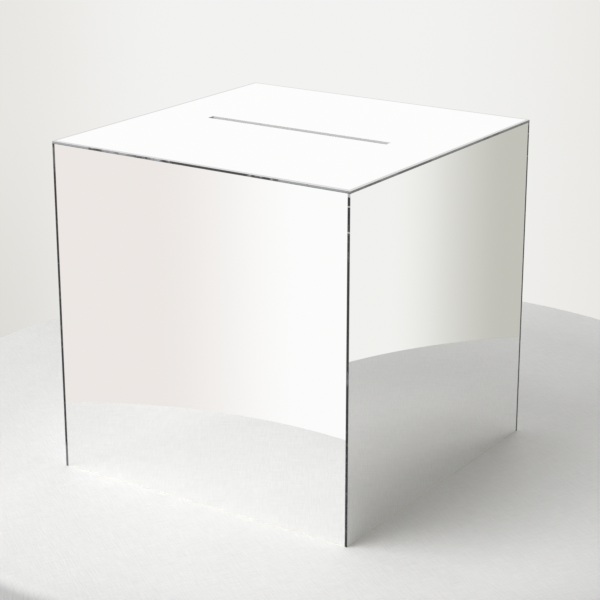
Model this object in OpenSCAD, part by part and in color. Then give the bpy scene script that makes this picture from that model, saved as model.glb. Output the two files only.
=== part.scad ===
// Ballot box in mirrored acrylic
// Four glued walls stand round an inset base. The lid lies over the ends of the walls, has a long
// slot for cards and ballots, and lifts off on four strips that locate it inside the walls.
// The origin is the middle of the footprint, at the foot of the walls.
// The front is at -Y, the right side at +X, and up is +Z.

/* [Box] */
// Outside width, from the left wall to the right wall
box_w = 305; // [240:1:450]
// Outside depth, from the front wall to the back wall
box_d = 305; // [150:1:450]
// Outside height, with the lid on
box_h = 305; // [120:1:450]

/* [Sheets] */
// Thickness of the four mirrored walls
wall_t = 2.5; // [2:0.5:6]
// Thickness of the mirrored lid
lid_t = 2.5; // [2:0.5:6]
// Thickness of the mirrored base
base_t = 2.5; // [2:0.5:6]

/* [Slot] */
// Length of the slot, left to right
slot_l = 190; // [80:1:200]
// Width of the slot, front to back
slot_w = 8; // [4:0.5:20]

/* [Corner posts] */
// Side of the square bar in each inner corner
post_s = 8; // [5:0.5:14]
// How far the posts stop below the lid
post_drop = 1; // [0.5:0.5:5]

/* [Base cleats] */
// Side of the square bar along each base joint
cleat_s = 8; // [5:0.5:14]

/* [Lid strips] */
// Width of each locating strip under the lid
strip_w = 8; // [5:0.5:14]
// Depth that each locating strip reaches below the lid
strip_h = 10; // [5:0.5:20]
// Gap between a locating strip and the wall beside it
strip_gap = 0.5; // [0.3:0.1:1]
// Gap between the end of a locating strip and the nearest post
strip_end_gap = 1; // [0.5:0.5:5]

/* [Hidden] */

// The walls end under the lid
wall_h = box_h - lid_t;
// Clear space between the walls
inner_w = box_w - 2 * wall_t;
inner_d = box_d - 2 * wall_t;

// The cleats run from post to post, and clear each other where they are wider than a post
cleat_end = max(post_s, cleat_s);
// The strips clear the posts and each other
strip_end = max(post_s + strip_end_gap, strip_gap + strip_w);

// The cutter of the slot runs past both faces of the lid by this much
cut = 1;

mirror_colour = [0.93, 0.93, 0.92];
clear_colour = [0.82, 0.86, 0.87, 0.6];

// Sides, as a sign along X or along Y
left = -1;
right = 1;
front = -1;
back = 1;

// A sheet or a bar, centred on x and y, that stands on z
module slab(size, x = 0, y = 0, z = 0) {
    translate([x - size[0] / 2, y - size[1] / 2, z]) cube(size);
}

// The front wall stands between the side walls, whose edges show beside it
module front_panel() {
    color(mirror_colour)
        slab([inner_w, wall_t, wall_h], y = -(box_d - wall_t) / 2);
}

// The back wall runs over the ends of the side walls
module back_panel() {
    color(mirror_colour)
        slab([box_w, wall_t, wall_h], y = (box_d - wall_t) / 2);
}

// A side wall runs from the front face to the back wall
module side_panel(side) {
    color(mirror_colour)
        slab([wall_t, box_d - wall_t, wall_h], x = side * (box_w - wall_t) / 2, y = -wall_t / 2);
}

// The base lies between the walls, with its underside level with their lower edges
module base_panel() {
    color(mirror_colour)
        slab([inner_w, inner_d, base_t]);
}

// A square bar in an inner corner, from the base to just under the lid
module corner_post(side, end) {
    color(clear_colour)
        slab(
            [post_s, post_s, wall_h - base_t - post_drop],
            x = side * (inner_w - post_s) / 2,
            y = end * (inner_d - post_s) / 2,
            z = base_t
        );
}

// A bar in the joint between the base and the front or back wall
module long_cleat(end) {
    color(clear_colour)
        slab([inner_w - 2 * cleat_end, cleat_s, cleat_s], y = end * (inner_d - cleat_s) / 2, z = base_t);
}

// A bar in the joint between the base and a side wall
module side_cleat(side) {
    color(clear_colour)
        slab([cleat_s, inner_d - 2 * cleat_end, cleat_s], x = side * (inner_w - cleat_s) / 2, z = base_t);
}

// The lid lies on the walls, flush with their outer faces
module lid_panel() {
    color(mirror_colour)
        difference() {
            slab([box_w, box_d, lid_t], z = wall_h);
            slab([slot_l, slot_w, lid_t + 2 * cut], z = wall_h - cut);
        }
}

// A strip under the lid along the front or back wall
module long_strip(end) {
    color(clear_colour)
        slab(
            [inner_w - 2 * strip_end, strip_w, strip_h],
            y = end * ((inner_d - strip_w) / 2 - strip_gap),
            z = wall_h - strip_h
        );
}

// A strip under the lid along a side wall
module side_strip(side) {
    color(clear_colour)
        slab(
            [strip_w, inner_d - 2 * strip_end, strip_h],
            x = side * ((inner_w - strip_w) / 2 - strip_gap),
            z = wall_h - strip_h
        );
}

front_panel();
back_panel();
side_panel(left);  // left_panel
side_panel(right);  // right_panel
base_panel();
corner_post(left, front);  // corner_post_front_left
corner_post(right, front);  // corner_post_front_right
corner_post(left, back);  // corner_post_back_left
corner_post(right, back);  // corner_post_back_right
long_cleat(front);  // base_cleat_front
long_cleat(back);  // base_cleat_back
side_cleat(left);  // base_cleat_left
side_cleat(right);  // base_cleat_right
lid_panel();
long_strip(front);  // lid_strip_front
long_strip(back);  // lid_strip_back
side_strip(left);  // lid_strip_left
side_strip(right);  // lid_strip_right
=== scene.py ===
# Looks, table, light and camera for the ballot box in mirrored acrylic.
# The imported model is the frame: front at -Y, right at +X, up at +Z, in metres.

import math

import bmesh
import bpy
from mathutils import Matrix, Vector


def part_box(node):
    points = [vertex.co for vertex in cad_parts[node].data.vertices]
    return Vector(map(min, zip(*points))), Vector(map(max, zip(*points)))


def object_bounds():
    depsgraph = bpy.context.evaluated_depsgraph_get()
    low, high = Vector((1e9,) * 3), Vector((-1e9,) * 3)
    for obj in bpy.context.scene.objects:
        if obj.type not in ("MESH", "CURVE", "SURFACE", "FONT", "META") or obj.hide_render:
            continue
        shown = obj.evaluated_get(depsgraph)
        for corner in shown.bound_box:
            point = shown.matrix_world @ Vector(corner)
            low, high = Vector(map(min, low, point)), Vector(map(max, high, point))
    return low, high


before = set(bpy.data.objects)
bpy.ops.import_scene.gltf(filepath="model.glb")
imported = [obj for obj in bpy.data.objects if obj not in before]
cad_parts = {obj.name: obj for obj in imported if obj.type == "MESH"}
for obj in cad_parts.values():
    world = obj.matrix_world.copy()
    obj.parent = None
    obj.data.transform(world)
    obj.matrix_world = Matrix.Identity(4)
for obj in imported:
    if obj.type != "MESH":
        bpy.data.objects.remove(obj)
cad_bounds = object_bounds()

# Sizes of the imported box, which the looks of its edges follow
BOX_HALF = cad_bounds[1][0]
BOX_TOP = cad_bounds[1][2]
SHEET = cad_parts["lid_panel"].dimensions.z
WALL_TOP = BOX_TOP - SHEET

# Camera for a square image: place in metres, tilt and turn in degrees, lens and sensor in millimetres
CAMERA_PLACE = (0.8694, -1.2941, 0.6616)
CAMERA_TILT = 71.70
CAMERA_TURN = 33.79
CAMERA_LENS = 107.7
SENSOR_WIDTH = 36.0

# Round table under a linen cloth
TABLE_CENTRE = (-0.016, 0.081)
TABLE_RADIUS = 0.436
TABLE_LIP = 0.010
SKIRT_DROP = 0.30
SKIRT_FLARE = 0.030
SKIRT_FOLDS = 22
SKIRT_FOLD_DEPTH = 0.012
TABLE_STEPS = 264
FLAT_RINGS = (0.25, 0.5, 0.75, 0.9)
LIP_STEPS = 6
SKIRT_STEPS = 12
QUARTER_TURN = math.radians(90)

# Headings are in degrees by the compass of the frame, where 0 is +Y and 90 is +X; powers are in watts

# Soft key light, from the front left
KEY_HEADING = -145.0
KEY_DISTANCE = 1.4
KEY_HEIGHT = 1.95
KEY_SIZE = 1.8
KEY_POWER = 32.3

# Weak fill light, from the back
FILL_HEADING = -12.0
FILL_DISTANCE = 2.0
FILL_HEIGHT = 1.7
FILL_SIZE = 1.4
FILL_POWER = 11.0

# Soft light from all round, brightest from its heading and dim from below the horizon
AMBIENT_HEADING = -120.0
AMBIENT_DARK = (0.31, 0.304, 0.270, 1.0)
AMBIENT_BRIGHT = (0.64, 0.64, 0.64, 1.0)
AMBIENT_BELOW = (0.20, 0.20, 0.20, 1.0)
HORIZON = (-0.1, 0.0)

# The curve between display levels and scene light
TOP_LEVEL = 255
CURVE_KNEE = 0.04045
CURVE_SLOPE = 12.92
CURVE_OFFSET = 0.055
CURVE_POWER = 2.4


def linear(level):
    """A display level from 0 to 255 as scene light."""
    share = level / TOP_LEVEL
    if share <= CURVE_KNEE:
        return share / CURVE_SLOPE
    return ((share + CURVE_OFFSET) / (1 + CURVE_OFFSET)) ** CURVE_POWER


def shade(level, red=0, blue=0):
    """A near-grey colour: its display level, and how much more red and blue it has than green."""
    return (linear(level + red), linear(level), linear(level + blue), 1.0)


class Graph:
    """Short calls that add and link the nodes of one material or world."""

    def __init__(self, tree):
        self.tree = tree
        tree.nodes.clear()

    def add(self, kind, **settings):
        node = self.tree.nodes.new(kind)
        for name, value in settings.items():
            setattr(node, name, value)
        return node

    def put(self, socket, value):
        if isinstance(value, bpy.types.NodeSocket):
            self.tree.links.new(value, socket)
        else:
            socket.default_value = value

    def math(self, operation, first, second=0.0):
        node = self.add("ShaderNodeMath", operation=operation)
        self.put(node.inputs[0], first)
        self.put(node.inputs[1], second)
        return node.outputs[0]

    def size(self, value):
        """A number without its sign."""
        return self.math("ABSOLUTE", value)

    def apart(self, first, second):
        """How far two numbers are apart."""
        return self.size(self.math("SUBTRACT", first, second))

    def dot(self, first, second):
        node = self.add("ShaderNodeVectorMath", operation="DOT_PRODUCT")
        self.put(node.inputs[0], first)
        self.put(node.inputs[1], second)
        return node.outputs["Value"]

    def times(self, vector, scale):
        node = self.add("ShaderNodeVectorMath", operation="MULTIPLY")
        self.put(node.inputs[0], vector)
        self.put(node.inputs[1], scale)
        return node.outputs["Vector"]

    def split(self, vector):
        node = self.add("ShaderNodeSeparateXYZ")
        self.put(node.inputs[0], vector)
        return node.outputs[0], node.outputs[1], node.outputs[2]

    def spread(self, value, start, end, low=0.0, high=1.0, soft=True):
        """Takes a value from low at start to high at end."""
        node = self.add("ShaderNodeMapRange", interpolation_type="SMOOTHSTEP" if soft else "LINEAR")
        self.put(node.inputs["Value"], value)
        node.inputs["From Min"].default_value = start
        node.inputs["From Max"].default_value = end
        node.inputs["To Min"].default_value = low
        node.inputs["To Max"].default_value = high
        return node.outputs["Result"]

    def noise(self, vector, scale, detail=3.0, rough=0.5):
        node = self.add("ShaderNodeTexNoise")
        self.put(node.inputs["Vector"], vector)
        node.inputs["Scale"].default_value = scale
        node.inputs["Detail"].default_value = detail
        node.inputs["Roughness"].default_value = rough
        return node.outputs["Fac"]

    def mix(self, share, first, second):
        """Mixes two colours."""
        node = self.add("ShaderNodeMix", data_type="RGBA")
        self.put(node.inputs["Factor"], share)
        self.put(node.inputs[6], first)
        self.put(node.inputs[7], second)
        return node.outputs[2]

    def blend(self, share, first, second):
        """Mixes two numbers."""
        node = self.add("ShaderNodeMix", data_type="FLOAT")
        self.put(node.inputs["Factor"], share)
        self.put(node.inputs[2], first)
        self.put(node.inputs[3], second)
        return node.outputs[0]

    def bump(self, height, strength, distance):
        node = self.add("ShaderNodeBump")
        self.put(node.inputs["Height"], height)
        node.inputs["Strength"].default_value = strength
        node.inputs["Distance"].default_value = distance
        return node.outputs["Normal"]


def new_material(name):
    material = bpy.data.materials.new(name)
    material.use_nodes = True
    return material, Graph(material.node_tree)


def finish_surface(graph, colour, roughness, normal, metallic=0.0, **constants):
    """The shader and the output of a material; what is the same all over is set on its own socket."""
    shader = graph.add("ShaderNodeBsdfPrincipled")
    graph.put(shader.inputs["Base Color"], colour)
    graph.put(shader.inputs["Roughness"], roughness)
    graph.put(shader.inputs["Metallic"], metallic)
    graph.put(shader.inputs["Normal"], normal)
    for name, value in constants.items():
        graph.put(shader.inputs[name.replace("_", " ")], value)
    output = graph.add("ShaderNodeOutputMaterial")
    graph.put(output.inputs["Surface"], shader.outputs[0])


# Acrylic, mirrored and clear

ACRYLIC_IOR = 1.49

# A surface faces a direction where its normal has more than this share of it
FACING = 0.5

# Mirrored sheet

# The directions in which the panels show their mirror
OUTWARD = {
    "front_panel": (0.0, -1.0, 0.0),
    "back_panel": (0.0, 1.0, 0.0),
    "left_panel": (-1.0, 0.0, 0.0),
    "right_panel": (1.0, 0.0, 0.0),
    "base_panel": (0.0, 0.0, -1.0),
    "lid_panel": (0.0, 0.0, 1.0),
}

# Silver outside and paint inside
SILVER = (0.990, 0.990, 0.986, 1.0)
SMUDGE = {"scale": 7.0, "detail": 6.0, "rough": 0.62}
SMUDGE_LEVELS = (0.45, 0.75)
SILVER_ROUGH = (0.004, 0.014)
PAINT_DARK = shade(205)
PAINT_PALE = shade(218)
PAINT_ROUGH = 0.62
MOTTLE = {"scale": 38.0, "detail": 5.0, "rough": 0.6}
MOTTLE_LEVELS = (0.35, 0.65)
WAVE = {"scale": 5.0, "detail": 1.0}
RELIEF_STRENGTH = 0.02
RELIEF_DEPTH = 0.0004

# Cut edges, which turn from dark to pale as the noise along them crosses the levels of their glints;
# the pale tones are painted glints, and the lid's edges are painted lighter than the walls' as
# reflected light
LID_EDGE = {"dark": shade(70, 0, 3), "pale": shade(186, -3, 4), "glints": (0.43, 0.51)}
WALL_EDGE = {"dark": shade(40, 0, 2), "pale": shade(112, 0, 4), "glints": (0.55, 0.63)}
ALONG = {"scale": 17.0, "detail": 5.0, "rough": 0.7}
# Thin pale lines where the noise is near one level, painted glints as well
GLINT_LINE_LEVEL = 0.47
GLINT_LINE_REACH = 0.006
GLINT_LINE_SHARE = 0.8
GRAIN = {"scale": 900.0, "detail": 2.0}
GRAIN_LEVELS = (0.3, 0.7)
EDGE_ROUGH = (0.12, 0.30)
PAINT_LINE = shade(72)
PAINT_LINE_DEPTHS = (SHEET * 0.86, SHEET * 0.94)

# Lid: grey rim of the top, pale upper corner of the edge, side edges painted lighter as reflected
# light, and the slot's wall painted near white as light carried through the sheet
SILVER_RIM = (0.62, 0.62, 0.62, 1.0)
RIM_REACH = (BOX_HALF - 0.0028, BOX_HALF - 0.0021)
ARRIS_HEIGHTS = (BOX_TOP - 0.0006, BOX_TOP - 0.0002)
SIDEWAYS = (1.0, 0.0, 0.0)
LID_SIDE_PAINTED_LIGHT = shade(190)
LID_SIDE_SHARE = 0.45
# The slot's cut wall, painted near white as light that the clear sheet carries to it; the other cut
# edges are dark
SLOT_WALL_PAINTED_LIGHT = (0.95, 0.95, 0.95, 1.0)
SLOT_REACH = 0.12

# Walls and base: a painted reflection of the cloth in cream at the foot, and near the top of two
# walls' edges a painted glint where light comes in under the lid and thin painted glints below it
PAINTED_FOOT_REFLECTION = (1.0, 0.99, 0.93, 1.0)
FOOT_LINE_HEIGHT = 0.0010
FOOT_LINE_MIRROR = 0.85
TOP_GLINT = shade(205)
TOP_GLINT_SHARES = {"right_panel": 1.0, "back_panel": 0.8}
TOP_GLINT_HEIGHTS = (WALL_TOP - 0.0035, WALL_TOP - 0.0023)
GLINT_DOT_HEIGHTS = (WALL_TOP - 0.0105, WALL_TOP - 0.0315)
GLINT_DOT_REACH = (0.0009, 0.0003)


def outer_face(name, outward):
    """How far a panel's outer face lies from the origin, along its outward direction."""
    low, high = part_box(name)
    direction = Vector(outward)
    return max(direction.dot(low), direction.dot(high))


def edge_look(graph, place, depth, edge):
    """A polished sheet edge: dark into the sheet, with painted glints along it and the line of the
    paint.
    """
    along = graph.noise(place, **ALONG)
    glint = graph.spread(along, *edge["glints"])
    glint_line = graph.spread(graph.apart(along, GLINT_LINE_LEVEL), 0.0, GLINT_LINE_REACH, GLINT_LINE_SHARE, 0.0)
    toned = graph.mix(graph.math("MAXIMUM", glint, glint_line), edge["dark"], edge["pale"])
    colour = graph.mix(graph.spread(depth, *PAINT_LINE_DEPTHS), toned, PAINT_LINE)
    grain = graph.noise(place, **GRAIN)
    roughness = graph.spread(grain, *GRAIN_LEVELS, *EDGE_ROUGH)
    return colour, roughness, grain


def lid_trim(graph, source, outside, edge_colour):
    """The lid's looks: silver with a grey rim, edge colour with painted light on the side edges and
    the slot's wall, and where it mirrors.
    """
    x, y, z = graph.split(source.outputs["Object"])
    from_middle = graph.math("MAXIMUM", graph.size(x), graph.size(y))
    silver = graph.mix(graph.spread(from_middle, *RIM_REACH), SILVER, SILVER_RIM)
    in_slot = graph.math("LESS_THAN", from_middle, SLOT_REACH)
    sideways = graph.size(graph.dot(source.outputs["Normal"], SIDEWAYS))
    # Edges that face sideways get painted light, lighter than the front and back edges
    side_painted_light = graph.mix(LID_SIDE_SHARE, edge_colour, LID_SIDE_PAINTED_LIGHT)
    edge_colour = graph.mix(sideways, edge_colour, side_painted_light)
    arris = graph.math("SUBTRACT", graph.spread(z, *ARRIS_HEIGHTS), in_slot)
    arris = graph.math("MAXIMUM", arris, 0.0)
    edge_colour = graph.mix(arris, edge_colour, SILVER)
    # Painted light on the slot's wall
    edge_colour = graph.mix(in_slot, edge_colour, SLOT_WALL_PAINTED_LIGHT)
    mirror = graph.math("MAXIMUM", outside, arris)
    return silver, edge_colour, mirror


def wall_trim(graph, source, outside, edge_colour, glint_share):
    """A wall's or the base's looks: silver with a painted reflection of the cloth in cream at the
    foot, edge colour with painted glints, and where it mirrors.
    """
    z = graph.split(source.outputs["Object"])[2]
    # Painted glints on the edge: one just below the lid, where light comes in under it, and thin ones
    # lower down
    glint = graph.spread(z, *TOP_GLINT_HEIGHTS)
    for height in GLINT_DOT_HEIGHTS:
        dot_glint = graph.spread(graph.apart(z, height), *GLINT_DOT_REACH)
        glint = graph.math("MAXIMUM", glint, dot_glint)
    edge_colour = graph.mix(graph.math("MULTIPLY", glint, glint_share), edge_colour, TOP_GLINT)
    # A cream line at the foot: painted reflection of the cloth on the mirror
    at_foot = graph.math("LESS_THAN", z, FOOT_LINE_HEIGHT)
    silver = graph.mix(at_foot, SILVER, PAINTED_FOOT_REFLECTION)
    mirror = graph.math("MULTIPLY", outside, graph.blend(at_foot, 1.0, FOOT_LINE_MIRROR))
    return silver, edge_colour, mirror


def mirror_sheet(name, outward):
    """Mirrored acrylic: polished mirror outside, grey paint inside, dark glossy edges."""
    material, graph = new_material(f"mirror_{name}")
    source = graph.add("ShaderNodeTexCoord")
    place = source.outputs["Object"]
    facing = graph.dot(source.outputs["Normal"], outward)
    outside = graph.math("GREATER_THAN", facing, FACING)
    inside = graph.math("LESS_THAN", facing, -FACING)
    depth = graph.math("SUBTRACT", outer_face(name, outward), graph.dot(place, outward))

    if name == "lid_panel":
        edge_colour, edge_rough, grain = edge_look(graph, place, depth, LID_EDGE)
        silver, edge_colour, mirror = lid_trim(graph, source, outside, edge_colour)
    else:
        edge_colour, edge_rough, grain = edge_look(graph, place, depth, WALL_EDGE)
        glint_share = TOP_GLINT_SHARES.get(name, 0.0)
        silver, edge_colour, mirror = wall_trim(graph, source, outside, edge_colour, glint_share)

    mottle = graph.spread(graph.noise(place, **MOTTLE), *MOTTLE_LEVELS)
    paint = graph.mix(mottle, PAINT_DARK, PAINT_PALE)
    colour = graph.mix(outside, graph.mix(inside, edge_colour, paint), silver)

    smudge = graph.spread(graph.noise(place, **SMUDGE), *SMUDGE_LEVELS)
    silver_rough = graph.blend(smudge, *SILVER_ROUGH)
    behind_rough = graph.blend(inside, edge_rough, PAINT_ROUGH)
    roughness = graph.blend(outside, behind_rough, silver_rough)

    height = graph.blend(outside, grain, graph.noise(place, **WAVE))
    normal = graph.bump(height, RELIEF_STRENGTH, RELIEF_DEPTH)
    finish_surface(graph, colour, roughness, normal, mirror, IOR=ACRYLIC_IOR)
    return material


# Clear bar

CLEAR = (0.88, 0.93, 0.94, 1.0)
SAWN = (0.80, 0.84, 0.85, 1.0)
CLEAR_TRANSMISSION = 0.82
SAWN_TRANSMISSION = 0.35
HAZE = {"scale": 60.0, "detail": 5.0}
HAZE_LEVELS = (0.4, 0.7)
HAZE_ROUGH = (0.05, 0.16)
SCRATCHES = {"scale": 260.0, "detail": 4.0, "rough": 0.7}
SCRATCH_STRETCH = (1.0, 1.0, 9.0)
SCRATCH_LEVELS = (0.3, 0.7)
SCRATCH_ROUGH = (0.45, 0.65)
SCRATCH_STRENGTH = 0.12
SCRATCH_DEPTH = 0.0003

BAR_AXES = {
    "corner_post": (0.0, 0.0, 1.0),
    "front": (1.0, 0.0, 0.0),
    "back": (1.0, 0.0, 0.0),
    "left": (0.0, 1.0, 0.0),
    "right": (0.0, 1.0, 0.0),
}


def bar_axis(name):
    """The direction a bar runs in, from its name."""
    if name.startswith("corner_post"):
        return BAR_AXES["corner_post"]
    return BAR_AXES[name.rsplit("_", 1)[1]]


def clear_bar(axis):
    """Clear acrylic bar along one axis, with polished sides and frosted, saw-cut ends."""
    material, graph = new_material(f"clear_bar_{'xyz'[axis.index(1.0)]}")
    source = graph.add("ShaderNodeTexCoord")
    place = source.outputs["Object"]
    lengthwise = graph.size(graph.dot(source.outputs["Normal"], axis))
    ends = graph.math("GREATER_THAN", lengthwise, FACING)
    colour = graph.mix(ends, CLEAR, SAWN)
    transmission = graph.blend(ends, CLEAR_TRANSMISSION, SAWN_TRANSMISSION)
    haze = graph.spread(graph.noise(place, **HAZE), *HAZE_LEVELS, *HAZE_ROUGH)
    scratches = graph.noise(graph.times(place, SCRATCH_STRETCH), **SCRATCHES)
    sawn_rough = graph.spread(scratches, *SCRATCH_LEVELS, *SCRATCH_ROUGH)
    roughness = graph.blend(ends, haze, sawn_rough)
    normal = graph.bump(scratches, SCRATCH_STRENGTH, SCRATCH_DEPTH)
    finish_surface(graph, colour, roughness, normal, Transmission_Weight=transmission, IOR=ACRYLIC_IOR)
    return material


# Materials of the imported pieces


def wear(node, material):
    """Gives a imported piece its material, in the slots that it has."""
    slots = node.material_slots
    if not slots:
        node.data.materials.append(material)
        return
    for slot in slots:
        slot.link = "OBJECT"
        slot.material = material


def dress_panels():
    for name, outward in OUTWARD.items():
        wear(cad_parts[name], mirror_sheet(name, outward))


def dress_bars():
    """Bars that run the same way share a material."""
    made = {}
    for name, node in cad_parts.items():
        if name in OUTWARD:
            continue
        axis = bar_axis(name)
        if axis not in made:
            made[axis] = clear_bar(axis)
        wear(node, made[axis])


# Linen cloth on the table

LINEN_LOW = (0.800, 0.800, 0.808, 1.0)
LINEN_HIGH = (0.900, 0.900, 0.900, 1.0)
LINEN_LEVELS = (0.85, 1.65)
LINEN_ROUGH = 0.9
LINEN_SPECULAR = 0.15
LINEN_SHEEN = 0.1

# Threads as long slubs, with their directions in degrees from +X towards +Y
WARP_ANGLE = 57.0
WEFT_ANGLE = -34.0
SLUB = (0.018, 0.0012, 0.018)
THREAD = {"scale": 1.0, "detail": 2.0}
THREAD_STRENGTH = 0.50
THREAD_DEPTH = 0.0006
UNEVEN = {"scale": 9.0, "detail": 3.0}
UNEVEN_SHARE = 0.5

# Painted shade on the cloth: darker at the back right, by its squared distance from the origin, and at
# the left
FAR_PAINTED_SHADE = 0.84
FAR_REACH = (0.078, 0.176)
FAR_ACROSS = (-0.20, 0.05)
LEFT_PAINTED_SHADE = 0.87
LEFT_ACROSS = (-0.10, -0.32)


def threads_along(graph, place, angle):
    """Slubs as long streaks in one direction."""
    node = graph.add("ShaderNodeMapping", vector_type="TEXTURE")
    graph.put(node.inputs["Vector"], place)
    node.inputs["Rotation"].default_value = (0.0, 0.0, math.radians(angle))
    node.inputs["Scale"].default_value = SLUB
    return graph.noise(node.outputs["Vector"], **THREAD)


def linen():
    """Pale linen: slubby threads in two directions, on a slow unevenness."""
    material, graph = new_material("linen")
    place = graph.add("ShaderNodeTexCoord").outputs["Object"]
    warp = threads_along(graph, place, WARP_ANGLE)
    weft = threads_along(graph, place, WEFT_ANGLE)
    threads = graph.math("ADD", warp, weft)
    uneven = graph.math("MULTIPLY", graph.noise(place, **UNEVEN), UNEVEN_SHARE)
    level = graph.spread(graph.math("ADD", threads, uneven), *LINEN_LEVELS, soft=False)
    colour = graph.mix(level, LINEN_LOW, LINEN_HIGH)

    # Painted shade: the cloth darker towards the back right and the left
    x = graph.split(place)[0]
    far_shade = graph.spread(graph.dot(place, place), *FAR_REACH)
    far_shade = graph.math("MULTIPLY", far_shade, graph.spread(x, *FAR_ACROSS))
    colour = graph.times(colour, graph.blend(far_shade, 1.0, FAR_PAINTED_SHADE))
    colour = graph.times(colour, graph.spread(x, *LEFT_ACROSS, 1.0, LEFT_PAINTED_SHADE))

    normal = graph.bump(threads, THREAD_STRENGTH, THREAD_DEPTH)
    gloss = {"Specular_IOR_Level": LINEN_SPECULAR, "Sheen_Weight": LINEN_SHEEN}
    finish_surface(graph, colour, LINEN_ROUGH, normal, **gloss)
    return material


def table_rings():
    """Radius, height and fold depth of each ring from the table's middle to the hem of the cloth."""
    rings = [(TABLE_RADIUS * share, 0.0, 0.0) for share in FLAT_RINGS]
    flat = TABLE_RADIUS - TABLE_LIP
    for step in range(LIP_STEPS + 1):
        turn = QUARTER_TURN * step / LIP_STEPS
        rings.append((flat + TABLE_LIP * math.sin(turn), TABLE_LIP * (math.cos(turn) - 1), 0.0))
    for step in range(1, SKIRT_STEPS + 1):
        share = step / SKIRT_STEPS
        radius = TABLE_RADIUS + SKIRT_FLARE * share
        rings.append((radius, -TABLE_LIP - SKIRT_DROP * share, SKIRT_FOLD_DEPTH * share))
    return rings


def build_table():
    """One sheet of cloth over a round table: flat top, rounded lip and a skirt with soft folds."""
    mesh = bmesh.new()
    middle = mesh.verts.new((*TABLE_CENTRE, 0.0))
    before = None
    for radius, height, fold in table_rings():
        ring = []
        for step in range(TABLE_STEPS):
            angle = math.tau * step / TABLE_STEPS
            reach = radius + fold * math.sin(SKIRT_FOLDS * angle)
            x = TABLE_CENTRE[0] + reach * math.cos(angle)
            y = TABLE_CENTRE[1] + reach * math.sin(angle)
            ring.append(mesh.verts.new((x, y, height)))
        for step in range(TABLE_STEPS):
            after = (step + 1) % TABLE_STEPS
            if before is None:
                mesh.faces.new((middle, ring[step], ring[after]))
            else:
                mesh.faces.new((before[step], ring[step], ring[after], before[after]))
        before = ring
    data = bpy.data.meshes.new("table_cloth")
    mesh.to_mesh(data)
    mesh.free()
    for face in data.polygons:
        face.use_smooth = True
    table = bpy.data.objects.new("table_cloth", data)
    bpy.context.scene.collection.objects.link(table)
    data.materials.append(linen())


# Studio round the box

WALL_LEFT = shade(232, 5, -3)
WALL_BACK = shade(230, 2, -4)
WALL_DUSK = shade(194, 1, -8)
WALL_LOW = shade(219, 1, -5)
WALL_GLOW = shade(242, 0, -1)
SCREEN_RIGHT = shade(242, 0, -2)
SCREEN_FRONT = shade(252)
CEILING = shade(253)

# Headings between which each part of the studio comes in
BACK_FROM = (-110.0, -80.0)
DUSK_FROM = (-26.0, 25.0)
LOW_FROM = -90.0
LOW_UNTIL = (-36.0, -46.0)
GLOW_FROM = (-44.0, -37.5)
GLOW_UNTIL = (-20.0, -31.0)
SCREEN_RIGHT_FROM = (26.9, 30.9)
SCREEN_FRONT_FROM = (120.0, 170.0)
SCREEN_FRONT_UNTIL = (-141.2, -146.3)

# Rise of a ray between which the low part of the wall and the ceiling come in
LOW_RISE = (-0.20, -0.34)
CEILING_RISE = (0.05, 0.14)

# A ray has met nothing dull while its count of dull bounces is under this
FIRST_DULL_BOUNCE = 0.5


def backdrop(graph, x, y, z):
    """The studio as camera and mirrors see it: pale walls, two white screens and a white ceiling."""
    heading = graph.math("MULTIPLY", graph.math("ARCTAN2", x, y), math.degrees(1))
    colour = graph.mix(graph.spread(heading, *BACK_FROM), WALL_LEFT, WALL_BACK)
    colour = graph.mix(graph.spread(heading, *DUSK_FROM, soft=False), colour, WALL_DUSK)

    low = graph.math("MULTIPLY", graph.spread(z, *LOW_RISE), graph.spread(heading, *LOW_UNTIL))
    low = graph.math("MULTIPLY", low, graph.math("GREATER_THAN", heading, LOW_FROM))
    colour = graph.mix(low, colour, WALL_LOW)

    glow_start = graph.spread(heading, *GLOW_FROM)
    glow_end = graph.spread(heading, *GLOW_UNTIL)
    colour = graph.mix(graph.math("MULTIPLY", glow_start, glow_end), colour, WALL_GLOW)

    colour = graph.mix(graph.spread(heading, *SCREEN_RIGHT_FROM), colour, SCREEN_RIGHT)
    colour = graph.mix(graph.spread(heading, *SCREEN_FRONT_FROM), colour, SCREEN_FRONT)
    colour = graph.mix(graph.spread(heading, *SCREEN_FRONT_UNTIL), colour, SCREEN_FRONT)
    return graph.mix(graph.spread(z, *CEILING_RISE), colour, CEILING)


def ambient(graph, direction, z):
    """Plain soft light from all round."""
    turn = math.radians(AMBIENT_HEADING)
    towards = graph.dot(direction, (math.sin(turn), math.cos(turn), 0.0))
    around = graph.mix(graph.spread(towards, -1.0, 1.0, soft=False), AMBIENT_DARK, AMBIENT_BRIGHT)
    return graph.mix(graph.spread(z, *HORIZON), AMBIENT_BELOW, around)


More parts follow.
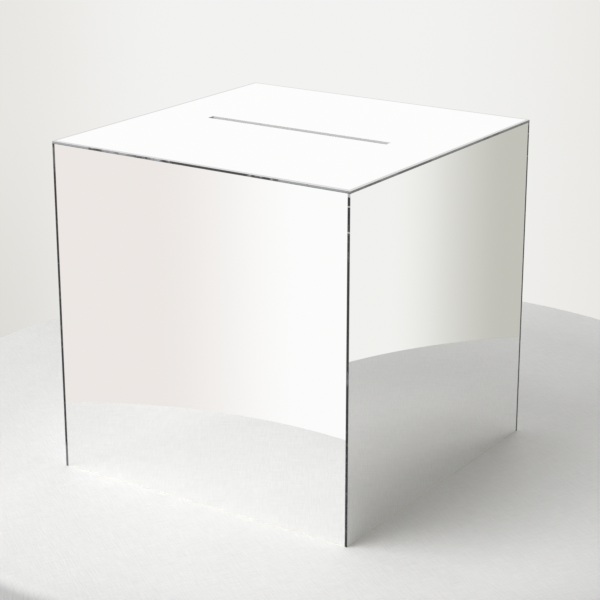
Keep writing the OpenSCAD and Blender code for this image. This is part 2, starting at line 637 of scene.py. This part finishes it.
def build_world():
    """Camera, mirror and glass rays see the backdrop; rays off something dull see plain soft light."""
    world = bpy.data.worlds.new("studio")
    bpy.context.scene.world = world
    world.use_nodes = True
    graph = Graph(world.node_tree)
    direction = graph.add("ShaderNodeTexCoord").outputs["Generated"]
    x, y, z = graph.split(direction)

    path = graph.add("ShaderNodeLightPath").outputs
    seen = graph.math("MAXIMUM", path["Is Camera Ray"], path["Is Glossy Ray"])
    seen = graph.math("MAXIMUM", seen, path["Is Transmission Ray"])
    unspread = graph.math("LESS_THAN", path["Diffuse Depth"], FIRST_DULL_BOUNCE)
    seen = graph.math("MULTIPLY", seen, unspread)

    colour = graph.mix(seen, ambient(graph, direction, z), backdrop(graph, x, y, z))
    background = graph.add("ShaderNodeBackground")
    graph.put(background.inputs["Color"], colour)
    background.inputs["Strength"].default_value = 1.0
    output = graph.add("ShaderNodeOutputWorld")
    graph.put(output.inputs["Surface"], background.outputs[0])


def build_lamp(name, heading, distance, height, size, power):
    """A round soft lamp that points at the foot of the box."""
    data = bpy.data.lights.new(name, "AREA")
    data.shape = "DISK"
    data.size = size
    data.energy = power
    lamp = bpy.data.objects.new(name, data)
    turn = math.radians(heading)
    lamp.location = (distance * math.sin(turn), distance * math.cos(turn), height)
    lamp.rotation_euler = (-lamp.location).to_track_quat("-Z", "Y").to_euler()
    lamp.visible_camera = False
    bpy.context.scene.collection.objects.link(lamp)


def build_camera():
    data = bpy.data.cameras.new("camera")
    data.lens = CAMERA_LENS
    data.sensor_width = SENSOR_WIDTH
    camera = bpy.data.objects.new("camera", data)
    camera.location = CAMERA_PLACE
    camera.rotation_euler = (math.radians(CAMERA_TILT), 0.0, math.radians(CAMERA_TURN))
    bpy.context.scene.collection.objects.link(camera)
    bpy.context.scene.camera = camera


build_camera()
dress_panels()
dress_bars()
build_table()
build_world()
build_lamp("key", KEY_HEADING, KEY_DISTANCE, KEY_HEIGHT, KEY_SIZE, KEY_POWER)
build_lamp("fill", FILL_HEADING, FILL_DISTANCE, FILL_HEIGHT, FILL_SIZE, FILL_POWER)
bpy.context.scene.view_settings.view_transform = "Standard"
